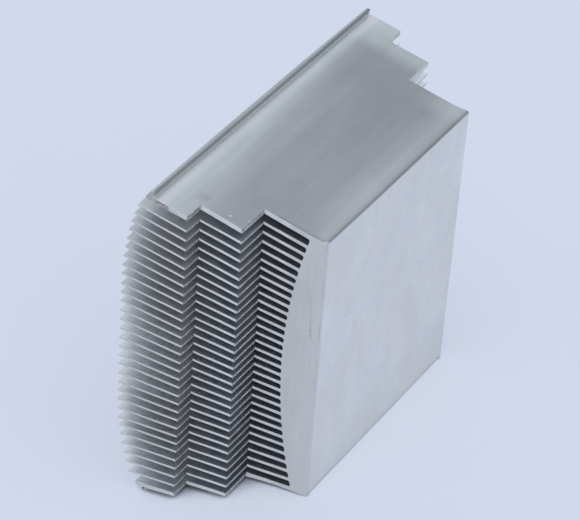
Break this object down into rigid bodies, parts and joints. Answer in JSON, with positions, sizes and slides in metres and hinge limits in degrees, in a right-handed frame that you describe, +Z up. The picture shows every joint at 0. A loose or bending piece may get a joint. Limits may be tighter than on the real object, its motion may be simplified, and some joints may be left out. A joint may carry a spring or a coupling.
{
  "type": "skived fin heat sink",
  "caption": "Aluminium heat sink with a bowed base, a fan of thin straight fins, lipped outer plates and stepped ends, to cool a flat-backed power module.",
  "frame": {"origin": "centre of the bounding box's base, on the floor that the part stands on", "axes": "+Z up, +Y along the fins and the part's length, +X roughly the way the mounting face looks; the part stands on its side, tipped onto its lower lip and its base's lower edge, so the mounting face looks about 11 degrees below level"},
  "size_m": [0.0592, 0.1, 0.094],
  "materials": {
    "bare_aluminium": "satin mill finish, with fine lines along the outer plates and brighter cut ends"
  },
  "bodies": {
    "root": {"finned_body": "bare_aluminium"}
  },
  "joints": []
}
